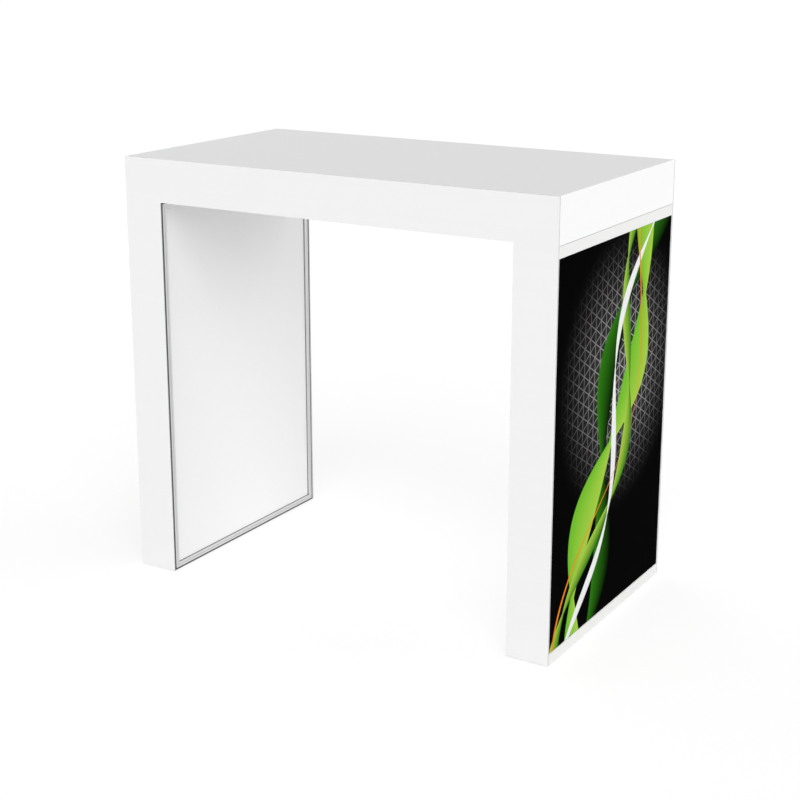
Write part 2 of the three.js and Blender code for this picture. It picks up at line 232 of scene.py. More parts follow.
def turned(name, profile, centre, sides, finish):
    """A round piece from (radius, height) points, from its axis round to its axis again."""
    bm = bmesh.new()
    rings = []
    for radius, height in profile:
        if radius == 0:
            rings.append([bm.verts.new((centre.x, centre.y, height))] * sides)
            continue
        ring = []
        for k in range(sides):
            turn = math.tau * k / sides
            x = centre.x + radius * math.cos(turn)
            y = centre.y + radius * math.sin(turn)
            ring.append(bm.verts.new((x, y, height)))
        rings.append(ring)
    for low, high in zip(rings, rings[1:]):
        for k in range(sides):
            corners = [low[k], low[(k + 1) % sides], high[(k + 1) % sides], high[k]]
            bm.faces.new(list(dict.fromkeys(corners)))
    return new_piece(name, bm, finish)


def threaded_stud(name, radius, low, high, finish):
    """A stud from low to high, points on its axis. Each point's radius follows the thread."""
    bm = bmesh.new()
    length = high.z - low.z
    count = round(length / THREAD_PITCH * THREAD_STEPS)
    rings = []
    for i in range(count + 1):
        rise = length * i / count
        end = min(rise, length - rise)
        widest = radius - max(0, THREAD_END - end)
        ring = []
        for k in range(STUD_SIDES):
            turn = k / STUD_SIDES
            phase = (rise / THREAD_PITCH - turn) % 1
            depth = THREAD_DEPTH * abs(2 * phase - 1)
            reach = min(radius - depth, widest)
            angle = math.tau * turn
            x = low.x + reach * math.cos(angle)
            y = low.y + reach * math.sin(angle)
            ring.append(bm.verts.new((x, y, low.z + rise)))
        rings.append(ring)
    for lower, upper in zip(rings, rings[1:]):
        for k in range(STUD_SIDES):
            after = (k + 1) % STUD_SIDES
            bm.faces.new([lower[k], lower[after], upper[after], upper[k]])
    bm.faces.new(rings[0][::-1])
    bm.faces.new(rings[-1])
    return new_piece(name, bm, finish)


black_nylon = moulded_nylon()
for side in SIDES:
    for end in ENDS:
        body = f"{side}_{end}_foot"
        low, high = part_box(f"{body}_stud")
        centre = (low + high) / 2
        stud = threaded_stud(
            f"{body}_thread",
            (high.x - low.x) / 2,
            Vector((centre.x, centre.y, low.z)),
            Vector((centre.x, centre.y, high.z)),
            zinc_steel,
        )
        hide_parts(f"{body}_stud")
        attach(stud, body)

        pad_low, pad_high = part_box(f"{side}_{end}_glide_pad")
        radius = (pad_high.x - pad_low.x) / 2
        bore = (high.x - low.x) / 2 + PAD_CLEARANCE
        ring_in, ring_out = PAD_RING
        sole = pad_low.z
        shoulder = pad_high.z - PAD_STEP
        profile = [
            (0, sole),
            (ring_in, sole),
            (ring_in + PAD_RING_DEPTH, sole + PAD_RING_DEPTH),
            (ring_out - PAD_RING_DEPTH, sole + PAD_RING_DEPTH),
            (ring_out, sole),
            (radius - PAD_EDGE, sole),
            (radius - PAD_EASE, sole + PAD_EASE),
            (radius, sole + PAD_EDGE),
            (radius, shoulder - PAD_EDGE),
            (radius - PAD_EASE, shoulder - PAD_EASE),
            (radius - PAD_EDGE, shoulder),
            (PAD_COLLAR + PAD_EDGE, shoulder + PAD_EASE),
            (PAD_COLLAR, pad_high.z),
            (bore, pad_high.z),
            (bore, low.z - PAD_CLEARANCE),
            (0, low.z - PAD_CLEARANCE),
        ]
        pad = turned(f"{body}_pad", profile, centre, PAD_SIDES, black_nylon)
        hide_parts(f"{side}_{end}_glide_pad")
        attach(pad, body)

# Beam rails and soffit
# Two extruded rails of the same coated aluminium run the length of the beam. Their ledges carry
# the sheet that closes the beam from below.

for end in ENDS:
    paint(ease_edges(f"beam_{end}_rail", EXTRUSION_EDGE), coated_aluminium)

SHEET_EDGE = 0.4 * MM
SHEET_WHITE = "#F5F5F5"
SHEET_SHADE = "#F3F3F4"
SHEET_ROUGHNESS = (0.33, 0.38)
SHEET_ROLL = (900 * MM, 14 * MM)  # length and spacing of the faint lines left by the rollers
SHEET_WAVE = 260 * MM
SHEET_WAVE_HEIGHT = 0.08 * MM
CUT_TILT_SINE = 0.01  # a face this close to square with the sheet is its cut edge


# Aluminium composite sheet: two thin skins on a plastic core, with lacquer rolled on and baked.
# A clean satin white that is a little wavy where it reflects, and shows no grain.
def lacquered_composite_sheet():
    made, tree, shader = new_finish("lacquered_composite_sheet", SHEET_WHITE, IOR=1.5)
    place = add_node(tree, "TexCoord").outputs["Object"]
    length, spacing = SHEET_ROLL
    roller = add_node(
        tree, "Mapping", {"Vector": place, "Scale": (1 / length, 1 / spacing, 1 / spacing)}
    )
    lines = add_node(tree, "TexNoise", {"Vector": roller.outputs[0], "Scale": 1, "Detail": 2})
    tone = add_node(
        tree,
        "Mix",
        {"Factor": lines.outputs["Fac"], 6: linear(SHEET_WHITE), 7: linear(SHEET_SHADE)},
        data_type="RGBA",
    )
    smooth, rough = SHEET_ROUGHNESS
    shine = add_node(
        tree, "MapRange", {"Value": lines.outputs["Fac"], "To Min": smooth, "To Max": rough}
    )
    wave = add_node(tree, "TexNoise", {"Vector": place, "Scale": 1 / SHEET_WAVE, "Detail": 0})
    bump = add_node(
        tree, "Bump", {"Height": wave.outputs["Fac"], "Distance": SHEET_WAVE_HEIGHT, "Strength": 1}
    )
    tree.links.new(tone.outputs[2], shader.inputs["Base Color"])
    tree.links.new(shine.outputs[0], shader.inputs["Roughness"])
    tree.links.new(bump.outputs["Normal"], shader.inputs["Normal"])
    return made


CORE_GREY = "#A6A6A5"
CORE_MARK = 1.6 * MM  # the cutter's marks are 0.3 mm apart, drawn coarser so that they show
CORE_MARK_HEIGHT = 0.05 * MM


# Polyethylene core: milled through with the skins on it. A dull grey line along the cut edges.
def milled_polyethylene():
    made, tree, shader = new_finish("milled_polyethylene", CORE_GREY, Roughness=0.7, IOR=1.51)
    place = add_node(tree, "TexCoord").outputs["Object"]
    marks = add_node(tree, "TexNoise", {"Vector": place, "Scale": 1 / CORE_MARK, "Detail": 1})
    bump = add_node(
        tree, "Bump", {"Height": marks.outputs["Fac"], "Distance": CORE_MARK_HEIGHT, "Strength": 1}
    )
    tree.links.new(bump.outputs["Normal"], shader.inputs["Normal"])
    return made


X, Y, Z = (Vector(row) for row in Matrix.Identity(3))


def flat_piece(name, outline, axes, low, high, edge, *finishes):
    """A sheet or board cut to an outline and eased all round. axes are the outline's two
    directions and the one through the sheet, along which it reaches from low to high. A second
    finish is for its cut edges."""
    bm = bmesh.new()
    turn = Matrix(axes).transposed()
    face = bm.faces.new([bm.verts.new(turn @ Vector((a, b, low))) for a, b in outline])
    grown = bmesh.ops.extrude_face_region(bm, geom=[face])["geom"]
    moved = [v for v in grown if isinstance(v, bmesh.types.BMVert)]
    bmesh.ops.translate(bm, verts=moved, vec=turn @ Vector((0, 0, high - low)))
    bmesh.ops.recalc_face_normals(bm, faces=bm.faces)
    sharp = [e for e in bm.edges if e.calc_face_angle(0) > FLAT_ANGLE]
    bmesh.ops.bevel(
        bm, geom=sharp, offset=edge, segments=EDGE_STEPS, profile=0.5, affect="EDGES"
    )
    bm.normal_update()
    for face in bm.faces:
        cut = abs(face.normal.dot(axes[2])) < CUT_TILT_SINE
        face.material_index = 1 if cut and len(finishes) > 1 else 0
    piece = new_piece(name, bm, *finishes)
    piece.modifiers.new("normals", "WEIGHTED_NORMAL")
    return piece


def rectangle(a0, b0, a1, b1):
    """The outline of a rectangle from its lowest and highest corners."""
    return [(a0, b0), (a1, b0), (a1, b1), (a0, b1)]


composite_sheet = lacquered_composite_sheet(), milled_polyethylene()
low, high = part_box("soffit_panel")
soffit = flat_piece(
    "soffit_sheet",
    rectangle(low.x, low.y, high.x, high.y),
    (X, Y, Z),
    low.z,
    high.z,
    SHEET_EDGE,
    *composite_sheet,
)
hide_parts("soffit_panel")
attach(soffit, "counter")

# Cladding
# The front and the rear are one sheet each, routed in one piece over both legs and the beam, so
# no joint shows. A strip of the same sheet closes each end of the beam, with a hairline under it.

ROUTER_RADIUS = 1.5 * MM  # left by the cutter in the two inside corners
CORNER_STEPS = 5


def round_corners(outline):
    """The points of an outline given as (a, b, radius), each corner an arc of its radius."""
    points = []
    for i, (a, b, radius) in enumerate(outline):
        corner = Vector((a, b))
        back = (Vector(outline[i - 1][:2]) - corner).normalized()
        on = (Vector(outline[(i + 1) % len(outline)][:2]) - corner).normalized()
        half = back.angle(on) / 2
        centre = corner + (back + on).normalized() * radius / math.sin(half)
        start = corner + back * radius / math.tan(half) - centre
        end = corner + on * radius / math.tan(half) - centre
        steps = CORNER_STEPS if radius else 0
        for k in range(steps + 1):
            points.append(centre + start.slerp(end, k / steps) * radius if steps else corner)
    return points


for end in ENDS:
    low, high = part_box(f"{end}_fascia")
    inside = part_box("left_panel_strip_top")[1].x
    beam_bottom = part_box(f"beam_{end}_rail")[0].z
    outline = round_corners(
        [
            (low.x, low.z, 0),
            (inside, low.z, 0),
            (inside, beam_bottom, ROUTER_RADIUS),
            (-inside, beam_bottom, ROUTER_RADIUS),
            (-inside, low.z, 0),
            (high.x, low.z, 0),
            (high.x, high.z, 0),
            (low.x, high.z, 0),
        ]
    )
    cladding = flat_piece(
        f"{end}_cladding", outline, (X, Z, Y), low.y, high.y, SHEET_EDGE, *composite_sheet
    )
    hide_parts(f"{end}_fascia")
    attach(cladding, "counter")

for side in SIDES:
    low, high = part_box(f"{side}_end_panel")
    cladding = flat_piece(
        f"{side}_beam_end",
        rectangle(low.y, low.z, high.y, high.z),
        (Y, Z, X),
        low.x,
        high.x,
        SHEET_EDGE,
        composite_sheet[0],
    )
    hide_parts(f"{side}_end_panel")
    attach(cladding, "counter")

# Top board
# An 18 mm chipboard faced with high-pressure laminate, dropped in flush between the cladding
# sheets and screwed up from the cross members.

BOARD_EDGE = 0.3 * MM
# Light grey, not white: painted shade that darkens the whole top, in both tones of the pearl grain
LAMINATE_GREY_WITH_PAINTED_SHADE = "#D8D8D8"
LAMINATE_PEARL_GREY_WITH_PAINTED_SHADE = "#D5D5D6"
LAMINATE_ROUGHNESS = (0.42, 0.58)
LAMINATE_GRAIN = 2.5 * MM  # real pearl grain is under 1 mm, drawn coarser so that it shows
LAMINATE_GRAIN_HEIGHT = 0.02 * MM


# High-pressure laminate: melamine paper pressed against an etched plate. A dry, dense white
# whose tiny pearls break up the light, duller than the lacquered sheet beside it. It is drawn light
# grey: painted shade, so that the top reads darker than the sides, as if it got less light.
def pressed_laminate():
    made, tree, shader = new_finish("pressed_laminate", LAMINATE_GREY_WITH_PAINTED_SHADE, IOR=1.5)
    place = add_node(tree, "TexCoord").outputs["Object"]
    pearl = add_node(
        tree, "TexNoise", {"Vector": place, "Scale": 1 / LAMINATE_GRAIN, "Detail": 3}
    )
    tone = add_node(
        tree,
        "Mix",
        {"Factor": pearl.outputs["Fac"], 6: linear(LAMINATE_GREY_WITH_PAINTED_SHADE), 7: linear(LAMINATE_PEARL_GREY_WITH_PAINTED_SHADE)},
        data_type="RGBA",
    )
    smooth, rough = LAMINATE_ROUGHNESS
    shine = add_node(
        tree, "MapRange", {"Value": pearl.outputs["Fac"], "To Min": smooth, "To Max": rough}
    )
    bump = add_node(
        tree,
        "Bump",
        {"Height": pearl.outputs["Fac"], "Distance": LAMINATE_GRAIN_HEIGHT, "Strength": 1},
    )
    tree.links.new(tone.outputs[2], shader.inputs["Base Color"])
    tree.links.new(shine.outputs[0], shader.inputs["Roughness"])
    tree.links.new(bump.outputs["Normal"], shader.inputs["Normal"])
    return made


low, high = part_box("countertop")
board = flat_piece(
    "top_board",
    rectangle(low.x, low.y, high.x, high.y),
    (X, Y, Z),
    low.z,
    high.z,
    BOARD_EDGE,
    pressed_laminate(),
)
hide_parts("countertop")
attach(board, "counter")

# Inner faces of the legs
# A white plastic panel lies behind the lips of four silver strips, mitred at the corners. A thin
# bead of dark rubber seals the panel, and a gasket closes the joint between the strips and the leg.

PANEL_EDGE = 0.3 * MM
PANEL_WHITE = "#F6F6F6"
PANEL_SHADE = "#F2F2F2"
PANEL_GRAIN = 4 * MM  # real foam skin has a grain of about 1 mm, drawn coarser so that it shows
PANEL_GRAIN_HEIGHT = 0.03 * MM


# Foamed PVC sheet: extruded, with a tight dull skin. A soft matt white without a clear reflection.
def foamed_pvc():
    made, tree, shader = new_finish("foamed_pvc", PANEL_WHITE, Roughness=0.65, IOR=1.5)
    place = add_node(tree, "TexCoord").outputs["Object"]
    grain = add_node(tree, "TexNoise", {"Vector": place, "Scale": 1 / PANEL_GRAIN, "Detail": 2})
    tone = add_node(
        tree,
        "Mix",
        {"Factor": grain.outputs["Fac"], 6: linear(PANEL_WHITE), 7: linear(PANEL_SHADE)},
        data_type="RGBA",
    )
    bump = add_node(
        tree,
        "Bump",
        {"Height": grain.outputs["Fac"], "Distance": PANEL_GRAIN_HEIGHT, "Strength": 1},
    )
    tree.links.new(tone.outputs[2], shader.inputs["Base Color"])
    tree.links.new(bump.outputs["Normal"], shader.inputs["Normal"])
    return made


ANODISED = "#DADADB"
ANODISED_ROUGHNESS = (0.3, 0.45)
DIE_LINE = (60 * MM, 0.7 * MM)  # length and spacing of the lines left by the die
DIE_LINE_HEIGHT = 0.02 * MM


# Anodised aluminium: extruded, etched matt and anodised in its own colour. Silver with a soft
# sheen that is drawn out along the strip, in line with its fine die lines.
def anodised_aluminium(run):
    made, tree, shader = new_finish(f"anodised_aluminium_{run}", ANODISED, Metallic=1)
    place = add_node(tree, "TexCoord").outputs["Object"]
    length, spacing = DIE_LINE
    across = (spacing, spacing, length) if run == "upright" else (spacing, length, spacing)
    drawn = add_node(tree, "Mapping", {"Vector": place, "Scale": [1 / size for size in across]})
    lines = add_node(tree, "TexNoise", {"Vector": drawn.outputs[0], "Scale": 1, "Detail": 3})
    smooth, rough = ANODISED_ROUGHNESS
    shine = add_node(
        tree, "MapRange", {"Value": lines.outputs["Fac"], "To Min": smooth, "To Max": rough}
    )
    bump = add_node(
        tree, "Bump", {"Height": lines.outputs["Fac"], "Distance": DIE_LINE_HEIGHT, "Strength": 1}
    )
    tree.links.new(shine.outputs[0], shader.inputs["Roughness"])
    tree.links.new(bump.outputs["Normal"], shader.inputs["Normal"])
    return made


RUBBER = "#3E3E3E"
RUBBER_ROUGHNESS = (0.6, 0.85)
RUBBER_BLOOM = 1.2 * MM


# EPDM rubber: extruded and cured. Dark grey and dull, with a slight bloom in patches.
def cured_rubber():
    made, tree, shader = new_finish("cured_rubber", RUBBER, IOR=1.52)
    place = add_node(tree, "TexCoord").outputs["Object"]
    bloom = add_node(tree, "TexNoise", {"Vector": place, "Scale": 1 / RUBBER_BLOOM, "Detail": 3})
    smooth, rough = RUBBER_ROUGHNESS
    dull = add_node(
        tree, "MapRange", {"Value": bloom.outputs["Fac"], "To Min": smooth, "To Max": rough}
    )
    tree.links.new(dull.outputs[0], shader.inputs["Roughness"])
    return made


def frame_bar(name, section, low, high, face, into, bars, finishes, gap=0):
    """Lengths of one section, mitred round the rectangle from low to high, both (y, z). A section
    point is how far in from the rectangle it lies, and how far behind the face. bars are the
    numbers of the rectangle's sides, from the bottom one round. All four with no gap are a ring."""
    bm = bmesh.new()
    closed = len(bars) == 4 and not gap
    towards = [(1, 0), (0, 1), (-1, 0), (0, -1)]

    def corner(number, inwards, depth, along=(0, 0)):
        y = (low[0] + inwards, high[0] - inwards, high[0] - inwards, low[0] + inwards)[number % 4]
        z = (low[1] + inwards, low[1] + inwards, high[1] - inwards, high[1] - inwards)[number % 4]
        return bm.verts.new((face + into * depth, y + along[0] * gap, z + along[1] * gap))

    for number in bars:
        way = towards[number]
        start = [corner(number, inwards, depth, way) for inwards, depth in section]
        end = [corner(number + 1, inwards, depth, [-w for w in way]) for inwards, depth in section]
        for k in range(len(section)):
            bm.faces.new([start[k], start[k - 1], end[k - 1], end[k]])
        if not closed:
            bm.faces.new(start)
            bm.faces.new(end[::-1])
    if closed:
        bmesh.ops.remove_doubles(bm, verts=bm.verts, dist=WELD_DISTANCE)
    return new_piece(name, bm, *finishes)


# The strips round a panel, in the order of frame_bar's sides, and which way each runs
STRIP_RUNS = {"bottom": "level", "rear": "upright", "top": "level", "front": "upright"}
STRIP_LIP = 4 * MM  # thickness of the lip over the panel
STRIP_HEEL = 4 * MM  # thickness of the part behind the lip, beside the panel
STRIP_LINE = (1 * MM, 1.2 * MM)  # width and depth of the line along the middle of a strip
STRIP_EDGE = 0.6 * MM
STRIP_FINE_EDGE = 0.15 * MM
STRIP_MITRE = 0.15 * MM  # each strip stops this far short of the mitre
GASKET_EDGE = 1.2 * MM
GASKET_GAP = 0.25 * MM  # between the gasket and the strips
BEAD = 0.75 * MM  # width and height of the bead
BEAD_EDGE = 0.35 * MM

white_panel = foamed_pvc()
rubber = cured_rubber()
silver = {run: anodised_aluminium(run) for run in ("upright", "level")}
for side, into in zip(SIDES, (-1, 1)):
    paint(ease_edges(f"{side}_inner_panel", PANEL_EDGE), white_panel)

    shown = 0 if into > 0 else 1  # which corner of a piece's box lies on its shown face
    strips = {place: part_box(f"{side}_panel_strip_{place}") for place in STRIP_RUNS}
    leg_face = strips["top"][shown].x
    low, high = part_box(f"{side}_edge_gasket")
    near, far = sorted(abs(x - leg_face) for x in (low.x, high.x))
    gasket_width = strips["front"][0].y - low.y - GASKET_GAP
    section = round_corners(
        [
            (0, near, GASKET_EDGE),
            (gasket_width, near, GASKET_EDGE),
            (gasket_width, far, 0),
            (0, far, 0),
        ]
    )
    gasket = frame_bar(
        f"{side}_gasket_ring",
        section,
        (low.y, low.z),
        (high.y, high.z),
        leg_face,
        into,
        range(4),
        [rubber],
    )
    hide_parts(f"{side}_edge_gasket")
    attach(gasket, "counter")

    bottom_low, bottom_high = strips["bottom"]
    face_width = bottom_high.z - bottom_low.z
    depth = bottom_high.x - bottom_low.x
    line_width, line_depth = STRIP_LINE
    line_start = (face_width - line_width) / 2
    line_end = (face_width + line_width) / 2
    section = round_corners(
        [
            (0, 0, STRIP_EDGE),
            (line_start, 0, STRIP_FINE_EDGE),
            (line_start, line_depth, STRIP_FINE_EDGE),
            (line_end, line_depth, STRIP_FINE_EDGE),
            (line_end, 0, STRIP_FINE_EDGE),
            (face_width, 0, STRIP_EDGE),
            (face_width, STRIP_LIP, STRIP_FINE_EDGE),
            (STRIP_HEEL, STRIP_LIP, 0),
            (STRIP_HEEL, depth, 0),
            (0, depth, 0),
        ]
    )
    ring_low = (strips["front"][0].y, bottom_low.z)
    ring_high = (strips["rear"][1].y, strips["top"][1].z)
    for number, (place, run) in enumerate(STRIP_RUNS.items()):
        strip = frame_bar(
            f"{side}_silver_strip_{place}",
            section,
            ring_low,
            ring_high,
            leg_face,
            into,
            [number],
            [silver[run]],
            STRIP_MITRE,
        )
        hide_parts(f"{side}_panel_strip_{place}")
        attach(strip, "counter")

    panel_face = abs(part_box(f"{side}_inner_panel")[shown].x - leg_face)
    section = round_corners(
        [
            (face_width, panel_face - BEAD, 0),
            (face_width + BEAD, panel_face - BEAD, BEAD_EDGE),
            (face_width + BEAD, panel_face, 0),
            (face_width, panel_face, 0),
        ]
    )
    bead = frame_bar(
        f"{side}_panel_bead", section, ring_low, ring_high, leg_face, into, range(4), [rubber]
    )
    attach(bead, "counter")

# Graphics
# Each outer leg face is a printed polyester knit, pulled tight over the frame. Its border turns
# down into the frame's groove with a ribbed silicone strip sewn to it, which holds it there.

CLOTH = 0.35 * MM
CLOTH_MARGIN = 0.1 * MM  # between the cloth's border and the edge of its CAD solid
CLOTH_TURN = 2 * MM  # radius of the cloth over the edge of the groove
CLOTH_ARC = math.pi / 2 * CLOTH_TURN  # length of the cloth round the turn
CLOTH_HEM = 12 * MM  # the part that stands in the groove, below the turn
CLOTH_STEPS = (0.5 * MM, 1.1 * MM, 1.8 * MM, 2.5 * MM)  # rows of the mesh round the turn
CLOTH_FINE = 3 * MM  # mesh spacing beside the border, and in the middle
CLOTH_COARSE = 14 * MM
CLOTH_GROWTH_SHARE = 1.18
CLOTH_REST_SHARE = 1.5  # a rest of up to this many spacings is one spacing
PUCKER_HEIGHT = 0.16 * MM
PUCKER_REACH = 22 * MM
PUCKER_WAVES = (17 * MM, 26.5 * MM, 43 * MM)
PUCKER_PHASE = 2  # radians by which each wave starts after the one before
CORNER_PULL_HEIGHT = 0.22 * MM
CORNER_PULL_REACH = 70 * MM
CORNER_PULLS = 7  # rises and dips that fan out from each corner

KNIT_RIB = 3 * MM  # real ribs are 0.5 mm apart, drawn coarser so that they show
KNIT_RIB_HEIGHT = 0.12 * MM
KNIT_LOOP_SHARE = 0.35  # how much the loops along a rib make it swell and shrink
KNIT_BUMP_STRENGTH = 0.6
KNIT_PAINTED_SHADE = 0.84  # painted shade: how bright the print is drawn between the ribs, as a share
PRINT_BLACK = "#030303"
PRINT_GLOW = "#3C3C3C"
PRINT_GREY = "#A9A5A5"
PRINT_DEEP_GREEN = "#2F7A14"
PRINT_GREEN = "#6DBE2D"
PRINT_LIME = "#A9D04B"
PRINT_WHITE = "#F2F2F2"
PRINT_ORANGE = "#F08A22"
PRINT_SOFTNESS = 0.8 * MM  # width of the edge of a printed form

GLOW_PLACE = (40 * MM, 120 * MM)  # to the right of the print's middle, and up from it
GLOW_REACH = 340 * MM
GRID_PITCH = 26 * MM
GRID_LINE = 0.9 * MM  # half the width of a line
GRID_FADE = (20 * MM, 320 * MM)  # from the glow's place to where the lines start to fade, and end
GRID_WAYS = [math.radians(turn) for turn in (0, 60, 120)]
RIBBON_TILT = math.radians(22)  # the ribbons run from the lower left to the upper right
RIBBON_NARROW_SHARE = 0.16  # of the widest width, where a ribbon is twisted
# Each ribbon: swing to a side, length of a swing, start of it as a share, half width at the
# widest, length between two narrow places, start of it as a share, colours from edge to edge
RIBBONS = [
    (84 * MM, 980 * MM, 0.62, 46 * MM, 760 * MM, 0.1, PRINT_DEEP_GREEN, PRINT_BLACK),
    (70 * MM, 860 * MM, 0.05, 56 * MM, 690 * MM, 0.55, PRINT_GREEN, PRINT_LIME),
    (92 * MM, 900 * MM, 0.3, 24 * MM, 520 * MM, 0.3, PRINT_LIME, PRINT_DEEP_GREEN),
    (62 * MM, 820 * MM, 0.48, 14 * MM, 640 * MM, 0.8, PRINT_WHITE, PRINT_WHITE),
    (104 * MM, 1050 * MM, 0.18, 4.5 * MM, 2400 * MM, 0.5, PRINT_ORANGE, PRINT_ORANGE),
]


def printed_grid(tree, spot):
    """Where three families of fine lines, laid over each other, cover the print."""
    cover = 0.0
    for way in GRID_WAYS:
        turned_spot = add_node(tree, "Mapping", {"Vector": spot, "Rotation": (0, 0, way)})
        across = add_node(tree, "SeparateXYZ", {"Vector": turned_spot.outputs[0]}).outputs["X"]
        to_line = add_node(tree, "Math", {0: across, 1: GRID_PITCH / 2}, operation="PINGPONG")
        line = add_node(
            tree,
            "MapRange",
            {
                "Value": to_line.outputs[0],
                "From Min": GRID_LINE + PRINT_SOFTNESS,
                "From Max": GRID_LINE,
            },
        )
        both = add_node(tree, "Math", {0: cover, 1: line.outputs[0]}, operation="MAXIMUM")
        cover = both.outputs[0]
    return cover


def printed_ribbon(tree, along, across, form):
    """Where a ribbon that swings and twists covers the print, and its colour there."""
    swing, period, start, half, twist, twist_start, first, last = form
    turn = add_node(
        tree,
        "Math",
        {0: along, 1: math.tau / period, 2: math.tau * start},
        operation="MULTIPLY_ADD",
    )
    sway = add_node(tree, "Math", {0: turn.outputs[0]}, operation="SINE")
    offset = add_node(
        tree, "Math", {0: sway.outputs[0], 1: -swing, 2: across}, operation="MULTIPLY_ADD"
    )
    wave = add_node(
        tree,
        "Math",
        {0: along, 1: math.tau / twist, 2: math.tau * twist_start},
        operation="MULTIPLY_ADD",
    )
    twisted = add_node(tree, "Math", {0: wave.outputs[0]}, operation="SINE")
    swell = add_node(tree, "Math", {0: twisted.outputs[0]}, operation="ABSOLUTE")
    narrow = half * RIBBON_NARROW_SHARE
    width = add_node(
        tree, "MapRange", {"Value": swell.outputs[0], "To Min": narrow, "To Max": half}
    )
    share = add_node(
        tree, "Math", {0: offset.outputs[0], 1: width.outputs[0]}, operation="DIVIDE"
    )
    distance = add_node(tree, "Math", {0: offset.outputs[0]}, operation="ABSOLUTE")
    inside = add_node(
        tree, "Math", {0: width.outputs[0], 1: distance.outputs[0]}, operation="SUBTRACT"
    )
    cover = add_node(
        tree, "MapRange", {"Value": inside.outputs[0], "From Min": 0, "From Max": PRINT_SOFTNESS}
    )
    edge_to_edge = add_node(tree, "MapRange", {"Value": share.outputs[0], "From Min": -1})
    colour = add_node(
        tree,
        "Mix",
        {"Factor": edge_to_edge.outputs[0], 6: linear(first), 7: linear(last)},
        data_type="RGBA",
    )
    return cover.outputs[0], colour.outputs[2]


# Printed polyester knit: warp-knitted, dyed by heat transfer. Deep dull colours with the knit's
# fine ribs in them, and no shine.
def printed_knit(middle_height):
    made, tree, shader = new_finish(
        "printed_knit", PRINT_BLACK, Roughness=0.95, Specular_IOR_Level=0.01
    )

    # A place on the print: to the right, as seen from outside either leg, and up from its middle
    on_counter = add_node(tree, "TexCoord").outputs["Object"]
    place = add_node(tree, "SeparateXYZ", {"Vector": on_counter})
    outwards = add_node(tree, "Math", {0: place.outputs["X"]}, operation="SIGN")
    right = add_node(
        tree, "Math", {0: place.outputs["Y"], 1: outwards.outputs[0]}, operation="MULTIPLY"
    )
    up = add_node(tree, "Math", {0: place.outputs["Z"], 1: middle_height}, operation="SUBTRACT")
    spot = add_node(tree, "CombineXYZ", {"X": right.outputs[0], "Y": up.outputs[0]}).outputs[0]

    from_glow = add_node(
        tree, "VectorMath", {0: spot, 1: (*GLOW_PLACE, 0)}, operation="DISTANCE"
    ).outputs["Value"]
    glow = add_node(
        tree,
        "MapRange",
        {"Value": from_glow, "From Min": GLOW_REACH, "From Max": 0},
        interpolation_type="SMOOTHSTEP",
    )
    fade_start, fade_end = GRID_FADE
    fade = add_node(
        tree,
        "MapRange",
        {"Value": from_glow, "From Min": fade_end, "From Max": fade_start},
        interpolation_type="SMOOTHSTEP",
    )
    grid = add_node(
        tree, "Math", {0: printed_grid(tree, spot), 1: fade.outputs[0]}, operation="MULTIPLY"
    )
    tilted = add_node(tree, "Mapping", {"Vector": spot, "Rotation": (0, 0, RIBBON_TILT)})
    run = add_node(tree, "SeparateXYZ", {"Vector": tilted.outputs[0]})

    colour = linear(PRINT_BLACK)
    layers = [(glow.outputs[0], linear(PRINT_GLOW)), (grid.outputs[0], linear(PRINT_GREY))]
    layers += [printed_ribbon(tree, run.outputs["Y"], run.outputs["X"], form) for form in RIBBONS]
    for cover, ink in layers:
        laid = add_node(tree, "Mix", {"Factor": cover, 6: colour, 7: ink}, data_type="RGBA")
        colour = laid.outputs[2]

    # The ribs of the knit run up the cloth in rows of loops. The print is drawn darker between
    # them: painted shade, on top of the ribs' bump.
    turns = add_node(
        tree, "VectorMath", {0: spot, "Scale": math.tau / KNIT_RIB}, operation="SCALE"
    )
    waves = add_node(tree, "VectorMath", {0: turns.outputs[0]}, operation="SINE")
    ribs = add_node(tree, "SeparateXYZ", {"Vector": waves.outputs[0]})
    loops = add_node(
        tree, "Math", {0: ribs.outputs["Y"], 1: KNIT_LOOP_SHARE, 2: 1.0}, operation="MULTIPLY_ADD"
    )
    knit = add_node(
        tree, "Math", {0: ribs.outputs["X"], 1: loops.outputs[0]}, operation="MULTIPLY"
    ).outputs[0]
    crest = 1 + KNIT_LOOP_SHARE
    # Painted shade: the print's colour is darkened between the ribs, where their bump already shades
    # it
    shade = add_node(
        tree,
        "MapRange",
        {"Value": knit, "From Min": -crest, "From Max": crest, "To Min": KNIT_PAINTED_SHADE},
    )
    ink_with_painted_shade = add_node(
        tree,
        "Mix",
        {"Factor": 1.0, 6: colour, 7: shade.outputs[0]},
        data_type="RGBA",
        blend_type="MULTIPLY",
    )
    bump = add_node(
        tree,
        "Bump",
        {"Height": knit, "Distance": KNIT_RIB_HEIGHT, "Strength": KNIT_BUMP_STRENGTH},
    )
    tree.links.new(ink_with_painted_shade.outputs[2], shader.inputs["Base Color"])
    tree.links.new(bump.outputs["Normal"], shader.inputs["Normal"])
    return made


CLOTH_BACK = "#E6E6E3"


# The back of the same knit: no ink reaches it, so it is a fuzzy off-white with an uneven surface.
def bare_knit():
    made, tree, shader = new_finish("bare_knit", CLOTH_BACK, Roughness=0.9, Sheen_Weight=0.1)
    place = add_node(tree, "TexCoord").outputs["Object"]
    knit = add_node(tree, "TexNoise", {"Vector": place, "Scale": 1 / KNIT_RIB, "Detail": 1})
    knit = knit.outputs["Fac"]
    bump = add_node(
        tree,
        "Bump",
        {"Height": knit, "Distance": KNIT_RIB_HEIGHT, "Strength": KNIT_BUMP_STRENGTH},
    )
    tree.links.new(bump.outputs["Normal"], shader.inputs["Normal"])
    return made


SILICONE = "#DCDCD8"
SILICONE_ROUGHNESS = (0.38, 0.55)
SILICONE_CLOUD = 6 * MM
SILICONE_SOAK = 1 * MM  # how deep light soaks in


